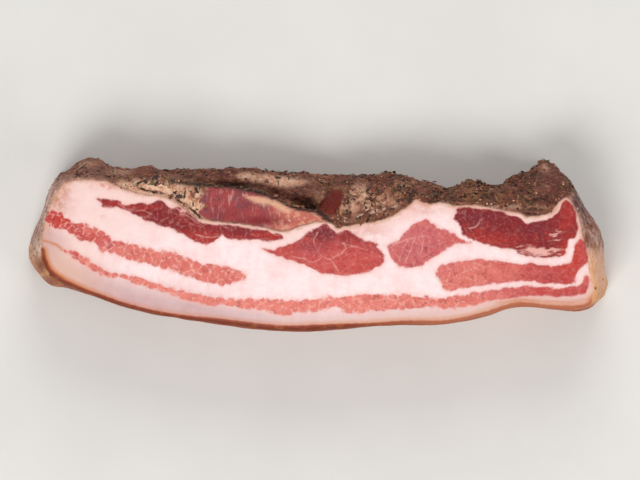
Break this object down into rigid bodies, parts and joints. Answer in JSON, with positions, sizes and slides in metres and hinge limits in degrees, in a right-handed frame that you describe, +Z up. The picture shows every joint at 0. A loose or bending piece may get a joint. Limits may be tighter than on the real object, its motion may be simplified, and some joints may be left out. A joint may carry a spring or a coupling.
{
  "type": "cured pork belly slab",
  "caption": "Thick cross-cut of cured pork belly with layered fat and lean, a thin rind edge and a spice-crusted meat side, lying on its back cut.",
  "frame": {"origin": "middle of the bounding box at its lowest level, on the surface that the slab lies on", "axes": "+X along the width of the belly, +Y from the rind to the crusted meat side, +Z up out of the fresh cut face"},
  "size_m": [0.2566, 0.0764, 0.0456],
  "materials": {
    "cured_meat": "moist fat and lean, dry crust"
  },
  "bodies": {
    "root": {"slab": "cured_meat"}
  },
  "joints": []
}
